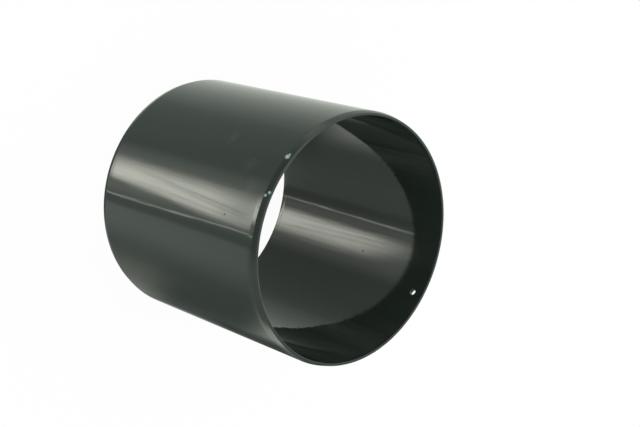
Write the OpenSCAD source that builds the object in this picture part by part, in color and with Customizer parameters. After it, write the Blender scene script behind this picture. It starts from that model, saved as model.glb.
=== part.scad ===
// Slip coupling for thin-walled PVC pipe: one extruded length of grey tube, cut square and
// chamfered outside at both ends. The bore runs straight through with no stop, so a pipe
// slides in from each end. One small hole near the mouth takes a screw or rivet.
// Millimetres, axis on +Z, standing on one end with the origin at the centre of that end.

/* [Pipe fit] */
// Outer diameter of the pipe that slides into the coupling
pipe_od = 160; // [110:1:250]
// Clearance between the pipe and the bore, on each side
pipe_gap = 0.4; // [0.2:0.1:1]

/* [Sleeve] */
// Wall thickness of the sleeve
wall = 2.8; // [2:0.1:5]
// Length over both ends
sleeve_len = 164; // [80:1:250]

/* [Ends] */
// Length of the outer chamfer, along the axis
chamfer_len = 4; // [1:0.1:5]
// Angle of the outer chamfer, from the axis
chamfer_angle = 15; // [5:1:18]
// Edge broken on the bore at each end, after the cut
bore_break = 0.2; // [0.1:0.1:0.3]

/* [Fixing hole] */
// Diameter of the drilled hole
hole_d = 4.5; // [3:0.1:8]
// Distance from the mouth to the hole's centre
hole_from_mouth = 9; // [9:0.5:35]
// Direction of the hole about the axis, from +X towards +Y
hole_angle = 90; // [0:5:355]

/* [Hidden] */
bore_r = pipe_od / 2 + pipe_gap;
outer_r = bore_r + wall;
chamfer_depth = chamfer_len * tan(chamfer_angle);
lip_r = outer_r - chamfer_depth;
hole_z = sleeve_len - hole_from_mouth;
// How far the drill passes beyond the wall on both sides
drill_over = 2;
round_fn = 180;
drill_fn = 48;

// Half section of the tube: bore, broken edges, flat lips, chamfers and the plain outer wall
module wall_section() {
    polygon([
        [bore_r, bore_break],
        [bore_r + bore_break, 0],
        [lip_r, 0],
        [outer_r, chamfer_len],
        [outer_r, sleeve_len - chamfer_len],
        [lip_r, sleeve_len],
        [bore_r + bore_break, sleeve_len],
        [bore_r, sleeve_len - bore_break]
    ]);
}

// The drill's path, square to the wall
module fixing_drill() {
    rotate([0, 0, hole_angle])
        translate([bore_r - drill_over, 0, hole_z])
            rotate([0, 90, 0])
                cylinder(d = hole_d, h = wall + 2 * drill_over, $fn = drill_fn);
}

module coupling_sleeve() {
    color([0.29, 0.31, 0.30])
        difference() {
            rotate_extrude($fn = round_fn) wall_section();
            fixing_drill();
        }
}

coupling_sleeve();
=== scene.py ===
import math

import bmesh
import bpy
from mathutils import Matrix, Vector


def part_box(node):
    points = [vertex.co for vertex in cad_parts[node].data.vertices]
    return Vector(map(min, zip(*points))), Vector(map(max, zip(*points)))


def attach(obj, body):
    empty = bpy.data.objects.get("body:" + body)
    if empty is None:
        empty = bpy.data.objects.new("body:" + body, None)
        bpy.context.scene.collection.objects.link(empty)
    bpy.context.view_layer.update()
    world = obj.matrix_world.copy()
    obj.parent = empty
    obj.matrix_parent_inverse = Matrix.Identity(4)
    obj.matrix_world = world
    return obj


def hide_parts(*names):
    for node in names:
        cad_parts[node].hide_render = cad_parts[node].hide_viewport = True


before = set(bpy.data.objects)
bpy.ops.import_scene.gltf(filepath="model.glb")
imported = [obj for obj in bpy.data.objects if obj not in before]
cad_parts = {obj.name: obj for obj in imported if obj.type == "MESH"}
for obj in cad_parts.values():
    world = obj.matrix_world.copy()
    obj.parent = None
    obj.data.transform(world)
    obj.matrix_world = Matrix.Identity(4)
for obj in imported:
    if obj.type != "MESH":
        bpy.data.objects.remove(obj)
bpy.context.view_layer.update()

# ---------------------------------------------------------------- Camera
# The photograph looks down into the mouth from about 45 degrees, with the picture
# turned on its side. Lens and place come from fitting the coupling's own outline.
EYE = Vector((0.1595, -0.5676, 0.7283))
AIM = Vector((-0.01635, 0.01829, 0.10291))
ROLL_DEG = 106.29
LENS_MM = 72.24
SENSOR_MM = 36.0
NEAREST_SEEN = 0.01

camera_data = bpy.data.cameras.new("camera")
camera_data.lens = LENS_MM
camera_data.sensor_width = SENSOR_MM
camera_data.clip_start = NEAREST_SEEN
camera = bpy.data.objects.new("camera", camera_data)
look = (AIM - EYE).to_track_quat("-Z", "Y").to_matrix().to_4x4()
roll = Matrix.Rotation(math.radians(ROLL_DEG), 4, "Z")
camera.matrix_world = Matrix.Translation(EYE) @ look @ roll
bpy.context.scene.collection.objects.link(camera)
bpy.context.scene.camera = camera
bpy.context.scene.view_settings.view_transform = "Standard"


# ---------------------------------------------------------------- Studio
# The room is made in the world's nodes. Light comes softly from above, and the glossy wall shows
# the room's boxes as long highlights. A place in it is a compass angle, from -Y towards +X, and
# a height above the horizon, both in degrees.
def add_node(tree, kind, **settings):
    """A shader node with its plain settings."""
    node = tree.nodes.new(kind)
    for name, value in settings.items():
        setattr(node, name, value)
    return node


def feed(tree, socket, value):
    """Links a socket to another node's output, or writes a plain value on it."""
    if isinstance(value, bpy.types.NodeSocket):
        tree.links.new(value, socket)
    else:
        socket.default_value = value


def math_node(tree, operation, a, b=None, c=None):
    """One Math node; returns its output."""
    node = add_node(tree, "ShaderNodeMath", operation=operation)
    for socket, value in zip(node.inputs, (a, b, c)):
        if value is not None:
            feed(tree, socket, value)
    return node.outputs[0]


def ramp(tree, value, low, high, out_low=0.0, out_high=1.0, shape="SMOOTHSTEP"):
    """A ramp of value from low to high, smooth unless another shape is given."""
    node = add_node(tree, "ShaderNodeMapRange", interpolation_type=shape)
    numbers = (("From Min", low), ("From Max", high), ("To Min", out_low), ("To Max", out_high))
    for name, number in numbers:
        node.inputs[name].default_value = number
    feed(tree, node.inputs["Value"], value)
    return node.outputs["Result"]


world = bpy.data.worlds.new("studio")
bpy.context.scene.world = world
world.use_nodes = True
room = world.node_tree
room.nodes.clear()
TO_DEGREES = 180.0 / math.pi
direction = add_node(room, "ShaderNodeSeparateXYZ")
room.links.new(add_node(room, "ShaderNodeTexCoord").outputs["Generated"], direction.inputs[0])
dir_x, dir_y, dir_z = direction.outputs
towards = math_node(room, "ARCTAN2", dir_x, math_node(room, "MULTIPLY", dir_y, -1.0))
compass = math_node(room, "MULTIPLY", towards, TO_DEGREES)
height = math_node(room, "MULTIPLY", math_node(room, "ARCSINE", dir_z), TO_DEGREES)


def by_height(change, shape="SMOOTHSTEP"):
    """A change with height: from where, to where, the value below and the value above."""
    return ramp(room, height, *change, shape=shape)


def times(a, b):
    """Two of the room's levels multiplied."""
    return math_node(room, "MULTIPLY", a, b)


def plus(a, b):
    """Two of the room's levels added."""
    return math_node(room, "ADD", a, b)


def minus(a, b):
    """One of the room's levels less another."""
    return math_node(room, "SUBTRACT", a, b)


def soft_box(middle, half, soft_before, soft_after, strength):
    """A tall box of light round one compass angle, with its own softness on each side."""
    aside = math_node(room, "WRAP", minus(compass, middle), 180.0, -180.0)
    before = ramp(room, aside, -half - soft_before, -half)
    after = ramp(room, aside, half, half + soft_after, strength, 0.0)
    return times(before, after)


# ---------------------------------------------------------------- Main box
# The large soft box before the coupling, which the wall shows as the two bright bands, outside
# and in the bore. Its far edge leans, its near edge stands further round high up, and it fades
# at its foot, at the change from the outer band to the inner one, and at its top.
MAIN_STRENGTH = 5.3
MAIN_RISE, MAIN_FULL = -1.5, 16.0
MAIN_EDGE, MAIN_EDGE_SOFT = 21.0, 9.0
LEAN = (-55.5, -48.6, -1.5, 8.0)
UPRIGHT = (-48.4, -47.8, 0.0, 1.0)
LATE_RISE = (-43.9, -41.3, 0.0, 7.0)
FAINT_FOOT = (-56.2, -54.4, 0.45, 0.0)
FAINT_LOW = (-50.6, -48.9, 0.0, 1.0)
FAINT_LOW_END = (-48.7, -47.6, 0.5, 0.0)
FAINT_HIGH = (-44.2, -40.4, 0.0, 1.0)

lean = by_height(LEAN)
upright = by_height(UPRIGHT)
main_edge = math_node(room, "MULTIPLY_ADD", minus(0.0, lean), upright, lean)
beyond = minus(minus(compass, MAIN_EDGE), main_edge)
rise_from = minus(compass, by_height(LATE_RISE))
main_box = times(ramp(room, rise_from, MAIN_RISE, MAIN_FULL, 0.0, MAIN_STRENGTH),
                 ramp(room, beyond, 0.0, MAIN_EDGE_SOFT, 1.0, 0.0))
faint_low = times(by_height(FAINT_LOW), by_height(FAINT_LOW_END))
faint = plus(by_height(FAINT_FOOT), plus(faint_low, by_height(FAINT_HIGH)))
main_box = times(main_box, minus(1.0, faint))

# Folds in the cloth of the box, which the wall draws out into darker streaks
FOLD_SOFT = 1.1
FOLD_FADE_IN = 1.2
FOLD_FADE_FROM, FOLD_FADE_TO = 0.6, 0.3
FOLDS = (
    # height and compass where the fold starts, and where it ends, half width, depth
    (-54.2, 10.0, -48.8, 22.5, 0.5, 0.46),
    (-53.4, 14.5, -48.8, 26.0, 0.35, 0.36),
    (-54.6, 20.5, -49.4, 29.0, 0.4, 0.28),
    (-47.6, 10.5, -42.4, 17.5, 0.5, 0.34),
    (-46.8, 16.5, -42.0, 21.5, 0.35, 0.30),
    (-47.4, 21.5, -43.0, 24.0, 0.3, 0.24),
)
for low_end, low_at, high_end, high_at, fold_half, depth in FOLDS:
    fold_line = by_height((low_end, high_end, low_at, high_at), "LINEAR")
    off_fold = math_node(room, "ABSOLUTE", minus(compass, fold_line))
    fold = ramp(room, off_fold, fold_half, fold_half + FOLD_SOFT, depth, 0.0)
    reach = times(by_height((low_end, low_end + FOLD_FADE_IN, 0.0, 1.0)),
                  by_height((high_end - FOLD_FADE_FROM, high_end + FOLD_FADE_TO, 1.0, 0.0)))
    main_box = times(main_box, minus(1.0, times(fold, reach)))

# A liberty with the light: a second reflection, from wall to wall, shows the box only weakly
SECOND_REFLECTION = (2.2, 2.8, 1.0, 0.2)
bounces = add_node(room, "ShaderNodeLightPath").outputs["Ray Depth"]
main_box = times(main_box, ramp(room, bounces, *SECOND_REFLECTION))

# ---------------------------------------------------------------- Side lights and dark sides
# Weaker boxes round the room light the rest of the wall, and dark sides keep it from looking
# washed out. Each is given by its middle, half width, soft edges before and after, and strength.
BROAD_BOXES = ((-140.0, 22.0, 18.0, 62.0, 0.37), (-110.0, 37.0, 20.0, 1.5, 0.05))
FRONT_GLOW = (17.0, 15.0, 19.0, 13.0, 0.55)
SIDE_SHEET = (57.0, 4.0, 5.0, 42.0, 0.38)
SIDE_SHEET_FADE = (-48.6, -46.2, 1.0, 0.4)
CORNER = (134.0, 5.0, 28.0, 14.0, 0.55)
CORNER_FOOT, CORNER_HEAD = (-47.0, -45.0, 0.0, 1.0), (-43.6, -42.0, 1.0, 0.0)
LOW_CORNER = (140.0, 16.0, 40.0, 22.0, 0.30)
LOW_CORNER_HEAD = (-52.6, -50.3, 1.0, 0.0)
DARK_SIDE = (150.0, 14.0, 80.0, 22.0, 0.72)
DARK_SIDE_FADE = (-47.8, -45.8, 1.0, 0.25)
DARK_NEAR = (172.0, 10.0, 18.0, 14.0, 0.80)
DARK_NEAR_RISE = (-50.0, -45.6, 0.0, 1.0)
DARK_FRONT = (8.0, 34.0, 16.0, 16.0, 0.60)
DARK_FRONT_FOOT, DARK_FRONT_HEAD = (-39.0, -31.0, 0.0, 1.0), (-8.0, 4.0, 1.0, 0.0)
GLOW_LOST = -1.6

dark_side = times(soft_box(*DARK_SIDE), by_height(DARK_SIDE_FADE))
dark_near = times(soft_box(*DARK_NEAR), by_height(DARK_NEAR_RISE))
dark_front = times(soft_box(*DARK_FRONT),
                   times(by_height(DARK_FRONT_FOOT), by_height(DARK_FRONT_HEAD)))
front_glow = times(soft_box(*FRONT_GLOW),
                   math_node(room, "MULTIPLY_ADD", dark_front, GLOW_LOST, 1.0))
side_sheet = times(soft_box(*SIDE_SHEET), by_height(SIDE_SHEET_FADE))
corner = times(soft_box(*CORNER), times(by_height(CORNER_FOOT), by_height(CORNER_HEAD)))
low_corner = times(soft_box(*LOW_CORNER), by_height(LOW_CORNER_HEAD))

# A bright slit between two boxes draws the thin line along the wall, outside and in the bore
SLIT_HALF, SLIT_SOFT, SLIT_STRENGTH = 0.35, 0.55, 2.1
SLIT_OUTSIDE = (-55.0, -48.2, 41.6, 37.5)
SLIT_INSIDE = (-47.4, -41.3, 39.3, 37.4)
SLIT_HEAD = (-42.5, -40.5, 1.0, 0.0)
slit_at = add_node(room, "ShaderNodeMix", data_type="FLOAT")
feed(room, slit_at.inputs[0], upright)
feed(room, slit_at.inputs[2], by_height(SLIT_OUTSIDE, "LINEAR"))
feed(room, slit_at.inputs[3], by_height(SLIT_INSIDE, "LINEAR"))
off_slit = math_node(room, "ABSOLUTE", minus(compass, slit_at.outputs[0]))
slit = times(ramp(room, off_slit, SLIT_HALF, SLIT_HALF + SLIT_SOFT, SLIT_STRENGTH, 0.0),
             by_height(SLIT_HEAD))

# Strips that hang higher than the main box, and light the coupling from the sides and back
HIGH_STRIPS = (
    (-62.0, 7.0, 5.0, 9.0, 0.5),
    (121.0, 8.0, 9.0, 5.0, 1.7),
    (-162.0, 9.0, 8.0, 6.0, 2.0),
)
STRIP_FOOT = (-36.0, -29.0, 0.0, 1.0)
strips = 0.0
for strip in HIGH_STRIPS:
    strips = plus(strips, soft_box(*strip))
strips = times(strips, by_height(STRIP_FOOT))

BOX_FOOT, BOX_HEAD = (-80.0, -66.0, 0.0, 1.0), (12.0, 26.0, 1.0, 0.0)
boxes = plus(main_box, front_glow)
for box in BROAD_BOXES:
    boxes = plus(boxes, soft_box(*box))
for light in (corner, low_corner, slit, strips):
    boxes = plus(boxes, light)
boxes = times(boxes, times(by_height(BOX_FOOT), by_height(BOX_HEAD)))

# ---------------------------------------------------------------- Room light
# The even light of the room: full from above, weaker below the horizon and weakest underfoot.
# The camera sees plain white instead, and everything else is lit by the room and its boxes.
OVERHEAD = (-2.0, 30.0, 0.445, 1.02)
UNDERFOOT = (-80.0, -64.0, 0.3, 1.0)
ROOM_TINT = (0.91, 1.04, 0.95)
BOX_TINT = (1.0, 1.0, 0.88)
BACKDROP_WHITE = (1.0, 1.0, 1.0, 1.0)

overhead = plus(times(by_height(OVERHEAD), by_height(UNDERFOOT)), side_sheet)
for shade in (dark_side, dark_near, dark_front):
    overhead = times(overhead, minus(1.0, shade))


def tinted(level, tint):
    """A colour of the given level and tint."""
    scaled = add_node(room, "ShaderNodeVectorMath", operation="SCALE")
    scaled.inputs[0].default_value = tint
    feed(room, scaled.inputs["Scale"], level)
    return scaled.outputs[0]


lit_room = add_node(room, "ShaderNodeVectorMath", operation="ADD")
feed(room, lit_room.inputs[0], tinted(overhead, ROOM_TINT))
feed(room, lit_room.inputs[1], tinted(boxes, BOX_TINT))
backdrop = add_node(room, "ShaderNodeMix", data_type="RGBA")
feed(room, backdrop.inputs[0], add_node(room, "ShaderNodeLightPath").outputs["Is Camera Ray"])
feed(room, backdrop.inputs[6], lit_room.outputs[0])
backdrop.inputs[7].default_value = BACKDROP_WHITE
background = add_node(room, "ShaderNodeBackground")
feed(room, background.inputs["Color"], backdrop.outputs[2])
room.links.new(background.outputs[0], add_node(room, "ShaderNodeOutputWorld").inputs["Surface"])

# ---------------------------------------------------------------- Floor
# A white paper sweep under the coupling. The camera sees it as white with a faint shadow. The
# gloss of the wall doesn't show it, and shows the darker room below instead.
FLOOR_HALF = 6.0
FLOOR_GAP = 0.0002
FLOOR_GLOW = 0.96
FLOOR_PAPER = 0.8

floor_mesh = bpy.data.meshes.new("floor")
corners = ((-1, -1), (1, -1), (1, 1), (-1, 1))
floor_mesh.from_pydata([(x * FLOOR_HALF, y * FLOOR_HALF, 0.0) for x, y in corners],
                       [], [(0, 1, 2, 3)])
floor = bpy.data.objects.new("floor", floor_mesh)
bpy.context.scene.collection.objects.link(floor)
floor.location.z = -FLOOR_GAP
floor.visible_glossy = False
paper = bpy.data.materials.new("white_paper")
paper.use_nodes = True
sheet = paper.node_tree
sheet.nodes.clear()


def paper_white(level):
    """A plain diffuse white of the given level."""
    diffuse = add_node(sheet, "ShaderNodeBsdfDiffuse")
    diffuse.inputs["Color"].default_value = (level, level, level, 1.0)
    return diffuse.outputs[0]


glow = add_node(sheet, "ShaderNodeEmission")
glow.inputs["Strength"].default_value = FLOOR_GLOW
white = add_node(sheet, "ShaderNodeAddShader")
sheet.links.new(paper_white(1.0 - FLOOR_GLOW), white.inputs[0])
sheet.links.new(glow.outputs[0], white.inputs[1])
either = add_node(sheet, "ShaderNodeMixShader")
seen = add_node(sheet, "ShaderNodeLightPath").outputs["Is Camera Ray"]
sheet.links.new(seen, either.inputs[0])
sheet.links.new(paper_white(FLOOR_PAPER), either.inputs[1])
sheet.links.new(white.outputs[0], either.inputs[2])
sheet.links.new(either.outputs[0], add_node(sheet, "ShaderNodeOutputMaterial").inputs["Surface"])
floor_mesh.materials.append(paper)

# ---------------------------------------------------------------- Coupling
# One length of extruded dark grey PVC tube, cut square and turned to a chamfer at both ends,
# with one hole drilled through the wall near the mouth. The skin is glossy from the die.
SLEEVE_LOW, SLEEVE_HIGH = (Vector(corner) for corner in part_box("coupling_sleeve"))
OUTER_R = (SLEEVE_HIGH.x - SLEEVE_LOW.x) / 2.0
LENGTH = SLEEVE_HIGH.z - SLEEVE_LOW.z
WALL = 0.0028
CHAMFER_LEN = 0.0040
CHAMFER_DEPTH = CHAMFER_LEN * math.tan(math.radians(15.0))
BORE_R = OUTER_R - WALL
LIP_R = OUTER_R - CHAMFER_DEPTH
EDGE_R = 0.00025
EDGE_STEPS = 3
MOST_OF_SIDE = 0.45
LONGEST_RUN = 0.004
TURN_STEPS = 288


def rounded(points, radius):
    """A closed outline with each corner rounded by a small arc."""
    out = []
    for i, corner in enumerate(points):
        back_side = points[i - 1] - corner
        on_side = points[(i + 1) % len(points)] - corner
        half = back_side.normalized().angle(on_side.normalized()) / 2.0
        back = min(radius / math.tan(half), MOST_OF_SIDE * back_side.length,
                   MOST_OF_SIDE * on_side.length)
        first = corner + back_side.normalized() * back
        last = corner + on_side.normalized() * back
        for k in range(EDGE_STEPS + 1):
            t = k / EDGE_STEPS
            out.append(first.lerp(corner, t).lerp(corner.lerp(last, t), t))
    return out


def subdivided(points, longest):
    """The same outline with its long straight runs cut into even pieces."""
    out = []
    for i, point in enumerate(points):
        onward = points[(i + 1) % len(points)]
        pieces = max(1, math.ceil((onward - point).length / longest))
        out += [point.lerp(onward, k / pieces) for k in range(pieces)]
    return out


section = [Vector(p) for p in (
    (BORE_R, 0.0), (LIP_R, 0.0), (OUTER_R, CHAMFER_LEN),
    (OUTER_R, LENGTH - CHAMFER_LEN), (LIP_R, LENGTH), (BORE_R, LENGTH))]
outline = subdivided(rounded(section, EDGE_R), LONGEST_RUN)

sleeve_mesh = bpy.data.meshes.new("pvc_sleeve")
shape = bmesh.new()
rings = []
for step in range(TURN_STEPS):
    turn = 2.0 * math.pi * (step + 0.5) / TURN_STEPS
    rings.append([shape.verts.new((p.x * math.cos(turn), p.x * math.sin(turn), p.y))
                  for p in outline])
for step, ring in enumerate(rings):
    onward = rings[(step + 1) % TURN_STEPS]
    for i in range(len(outline)):
        j = (i + 1) % len(outline)
        shape.faces.new((ring[i], onward[i], onward[j], ring[j]))
bmesh.ops.recalc_face_normals(shape, faces=shape.faces)
shape.to_mesh(sleeve_mesh)
shape.free()
sleeve = bpy.data.objects.new("pvc_sleeve", sleeve_mesh)
bpy.context.scene.collection.objects.link(sleeve)

# The fixing hole: a drill taken out of the wall with a Boolean, and then thrown away
HOLE_R = 0.00225
HOLE_Z = LENGTH - 0.009
HOLE_ANGLE = math.radians(90.0)
DRILL_REACH = 0.006
DRILL_SIDES = 40
across = Vector((math.cos(HOLE_ANGLE), math.sin(HOLE_ANGLE), 0.0))
turned = Vector((0.0, 0.0, 1.0)).rotation_difference(across).to_matrix().to_4x4()
drill_at = Matrix.Translation(across * (OUTER_R - WALL / 2.0) + Vector((0, 0, HOLE_Z)))
drill_mesh = bpy.data.meshes.new("drill")
drill_shape = bmesh.new()
bmesh.ops.create_cone(drill_shape, cap_ends=True, segments=DRILL_SIDES, radius1=HOLE_R,
                      radius2=HOLE_R, depth=DRILL_REACH, matrix=drill_at @ turned)
drill_shape.to_mesh(drill_mesh)
drill_shape.free()
drill = bpy.data.objects.new("drill", drill_mesh)
bpy.context.scene.collection.objects.link(drill)
cut = sleeve.modifiers.new("fixing_hole", "BOOLEAN")
cut.operation = "DIFFERENCE"
cut.solver = "EXACT"
cut.object = drill
bpy.context.view_layer.update()
drilled = sleeve.evaluated_get(bpy.context.evaluated_depsgraph_get())
cut_mesh = bpy.data.meshes.new_from_object(drilled)
sleeve.modifiers.clear()
sleeve.data = cut_mesh
cut_mesh.name = "pvc_sleeve"
bpy.data.objects.remove(drill)
SHARP_FROM = math.radians(35.0)
for polygon in cut_mesh.polygons:
    polygon.use_smooth = True
cut_mesh.set_sharp_from_angle(angle=SHARP_FROM)

# The plastic: dark grey with faintly lighter streaks, glossy on the skin and duller where cut
PVC_COLOUR = (0.0205, 0.0262, 0.0232, 1.0)
PVC_STREAK = (0.0232, 0.0292, 0.0260, 1.0)
CUT_COLOUR = (0.026, 0.032, 0.0285, 1.0)
PVC_IOR = 1.53
CUT_ROUGH = 0.18
CUT_EDGE = 0.0001
BORE_SKIN_FROM, BORE_SKIN_TO = 0.00015, 0.00035

pvc = bpy.data.materials.new("extruded_pvc")
pvc.use_nodes = True
skin = pvc.node_tree
skin.nodes.clear()
surface = add_node(skin, "ShaderNodeBsdfPrincipled")
skin.links.new(surface.outputs[0], add_node(skin, "ShaderNodeOutputMaterial").inputs["Surface"])
surface.inputs["IOR"].default_value = PVC_IOR

place = add_node(skin, "ShaderNodeTexCoord").outputs["Object"]
split = add_node(skin, "ShaderNodeSeparateXYZ")
skin.links.new(place, split.inputs[0])
pos_x, pos_y, pos_z = split.outputs
radius = math_node(skin, "SQRT", math_node(skin, "ADD", math_node(skin, "MULTIPLY", pos_x, pos_x),
                                           math_node(skin, "MULTIPLY", pos_y, pos_y)))
from_end = math_node(skin, "MINIMUM", pos_z, math_node(skin, "SUBTRACT", LENGTH, pos_z))
# Cut faces: the flat lip and the turned chamfer, both inside the last stretch of the wall
in_end = ramp(skin, from_end, CHAMFER_LEN - CUT_EDGE, CHAMFER_LEN + CUT_EDGE, 1.0, 0.0)
off_bore = ramp(skin, radius, BORE_R + BORE_SKIN_FROM, BORE_R + BORE_SKIN_TO)
cut_face = math_node(skin, "MULTIPLY", in_end, off_bore)


def drawn_noise(scale, along, detail=3.0, rough=0.55):
    """Noise on the tube, drawn out along its axis by the factor along."""
    squeeze = add_node(skin, "ShaderNodeMapping", vector_type="POINT")
    squeeze.inputs["Scale"].default_value = (1.0, 1.0, 1.0 / along)
    skin.links.new(place, squeeze.inputs["Vector"])
    grain = add_node(skin, "ShaderNodeTexNoise")
    grain.inputs["Scale"].default_value = scale
    grain.inputs["Detail"].default_value = detail
    grain.inputs["Roughness"].default_value = rough
    skin.links.new(squeeze.outputs[0], grain.inputs["Vector"])
    return grain.outputs["Fac"]


def layered(below, colour, amount):
    """A colour laid over the one below, by an amount that changes over the wall."""
    layer = add_node(skin, "ShaderNodeMix", data_type="RGBA")
    feed(skin, layer.inputs[0], amount)
    feed(skin, layer.inputs[6], below)
    layer.inputs[7].default_value = colour
    return layer.outputs[2]


die_lines = drawn_noise(420.0, 120.0)
broad_lines = drawn_noise(75.0, 9.0)
clouding = drawn_noise(26.0, 1.6)
fine_grain = drawn_noise(900.0, 1.0, detail=1.0)
STREAK_FROM, STREAK_TO = 0.35, 0.65
painted = layered(PVC_COLOUR, PVC_STREAK, ramp(skin, broad_lines, STREAK_FROM, STREAK_TO))
painted = layered(painted, CUT_COLOUR, cut_face)


# Marks of handling: painted glints on the chamfer (bluish-white spots that stand in for light
# caught by small nicks), faint rubbed patches and small dark specks
def at_wall(turn_deg, height_m, radius_m):
    """A point on the wall, from its direction about the axis and its height."""
    angle = math.radians(turn_deg)
    return (radius_m * math.cos(angle), radius_m * math.sin(angle), height_m)


def near_point(point, full, fade):
    """A mask that is 1 within full of the point and falls to 0 at fade."""
    gap = add_node(skin, "ShaderNodeVectorMath", operation="DISTANCE")
    skin.links.new(place, gap.inputs[0])
    gap.inputs[1].default_value = point
    return ramp(skin, gap.outputs["Value"], full, fade, 1.0, 0.0)


# Painted glints: light colour spots on the chamfer in place of the light that small nicks catch;
# no nick is cut in the shape
GLINT_INSET = 0.0006
GLINT_CORE, GLINT_HALO = 0.5, 2.8
SPECK_HALO = 2.0
GLINT_SPOTS = (
    # direction about the axis, distance below the mouth, size
    (-100.2, 0.0031, 0.0008), (-101.5, 0.0027, 0.0004),
    (-83.0, 0.0012, 0.0005), (-81.4, 0.0032, 0.0005),
)
RUBBED = (
    # direction about the axis, height, size
    (-92.0, 0.136, 0.0080), (-84.0, 0.146, 0.0085),
    (-76.5, 0.126, 0.0055), (-103.0, 0.106, 0.0065),
)
SPECKS = (
    # direction about the axis, height, size; the ones at a plus angle are in the bore
    (101.9, 0.0968, 0.0006), (-100.0, 0.118, 0.0004),
    (-69.0, 0.131, 0.0005), (60.0, 0.060, 0.0005),
)
glint_mask = 0.0
for turn_deg, below_mouth, size in GLINT_SPOTS:
    middle = at_wall(turn_deg, LENGTH - below_mouth, OUTER_R - GLINT_INSET)
    glint_spot = near_point(middle, size * GLINT_CORE, size * GLINT_HALO)
    glint_mask = math_node(skin, "MAXIMUM", glint_mask, glint_spot)
rubbed = 0.0
for turn_deg, height_m, size in RUBBED:
    patch = near_point(at_wall(turn_deg, height_m, OUTER_R), 0.0, size)
    rubbed = math_node(skin, "MAXIMUM", rubbed, patch)
specks = 0.0
for turn_deg, height_m, size in SPECKS:
    wall_r = BORE_R if turn_deg > 0 else OUTER_R
    speck = near_point(at_wall(turn_deg, height_m, wall_r), size, size * SPECK_HALO)
    specks = math_node(skin, "MAXIMUM", specks, speck)
SCRATCH_FROM, SCRATCH_TO = 0.50, 0.63
scratches = drawn_noise(1500.0, 0.35, detail=4.0, rough=0.7)
scuff = math_node(skin, "MULTIPLY", rubbed, ramp(skin, scratches, SCRATCH_FROM, SCRATCH_TO))
SCUFF_COLOUR, SCUFF_COVER = (0.090, 0.105, 0.100, 1.0), 0.8
# The glint colour is a painted highlight, bluish-white like the light it stands in for
GLINT_COLOUR, GLINT_COVER = (0.46, 0.58, 0.60, 1.0), 0.9
SPECK_COLOUR, SPECK_COVER = (0.012, 0.012, 0.011, 1.0), 0.9
painted = layered(painted, SCUFF_COLOUR, math_node(skin, "MULTIPLY", scuff, SCUFF_COVER))
# Painted glints laid over the colour
painted = layered(painted, GLINT_COLOUR, math_node(skin, "MULTIPLY", glint_mask, GLINT_COVER))
painted = layered(painted, SPECK_COLOUR, math_node(skin, "MULTIPLY", specks, SPECK_COVER))
feed(skin, surface.inputs["Base Color"], painted)

# Gloss: slightly cloudy on the skin, dull on the cut faces and the marks
CLOUD_FROM, CLOUD_TO = 0.35, 0.75
CLEAR_ROUGH, CLOUDY_ROUGH = 0.045, 0.090
MARK_ROUGH = 0.25
rough_all = add_node(skin, "ShaderNodeMix", data_type="FLOAT")
feed(skin, rough_all.inputs[0], cut_face)
feed(skin, rough_all.inputs[2],
     ramp(skin, clouding, CLOUD_FROM, CLOUD_TO, CLEAR_ROUGH, CLOUDY_ROUGH))
rough_all.inputs[3].default_value = CUT_ROUGH
marks = math_node(skin, "MULTIPLY", math_node(skin, "ADD", scuff, specks), MARK_ROUGH)
feed(skin, surface.inputs["Roughness"], math_node(skin, "ADD", rough_all.outputs[0], marks))

# Relief, in metres: die lines and broad waviness on the skin, lathe marks on the cut faces
LINE_RELIEF, WAVE_RELIEF, GRAIN_RELIEF, LATHE_RELIEF = 0.000006, 0.00010, 0.0000008, 0.00002
LATHE_SCALE, LATHE_SLANT = 5200.0, 0.7
lathe = add_node(skin, "ShaderNodeTexNoise", noise_dimensions="1D")
lathe.inputs["Scale"].default_value = LATHE_SCALE
slanted = math_node(skin, "MULTIPLY", pos_z, LATHE_SLANT)
feed(skin, lathe.inputs["W"], math_node(skin, "ADD", radius, slanted))
lathe_marks = math_node(skin, "MULTIPLY", lathe.outputs["Fac"], cut_face)
relief = 0.0
for pattern, deep in ((die_lines, LINE_RELIEF), (broad_lines, WAVE_RELIEF),
                      (fine_grain, GRAIN_RELIEF), (lathe_marks, LATHE_RELIEF)):
    relief = math_node(skin, "ADD", relief, math_node(skin, "MULTIPLY", pattern, deep))
bump = add_node(skin, "ShaderNodeBump")
bump.inputs["Strength"].default_value = 1.0
bump.inputs["Distance"].default_value = 1.0
feed(skin, bump.inputs["Height"], relief)
skin.links.new(bump.outputs[0], surface.inputs["Normal"])

cut_mesh.materials.clear()
cut_mesh.materials.append(pvc)
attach(sleeve, "root")
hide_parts("coupling_sleeve")
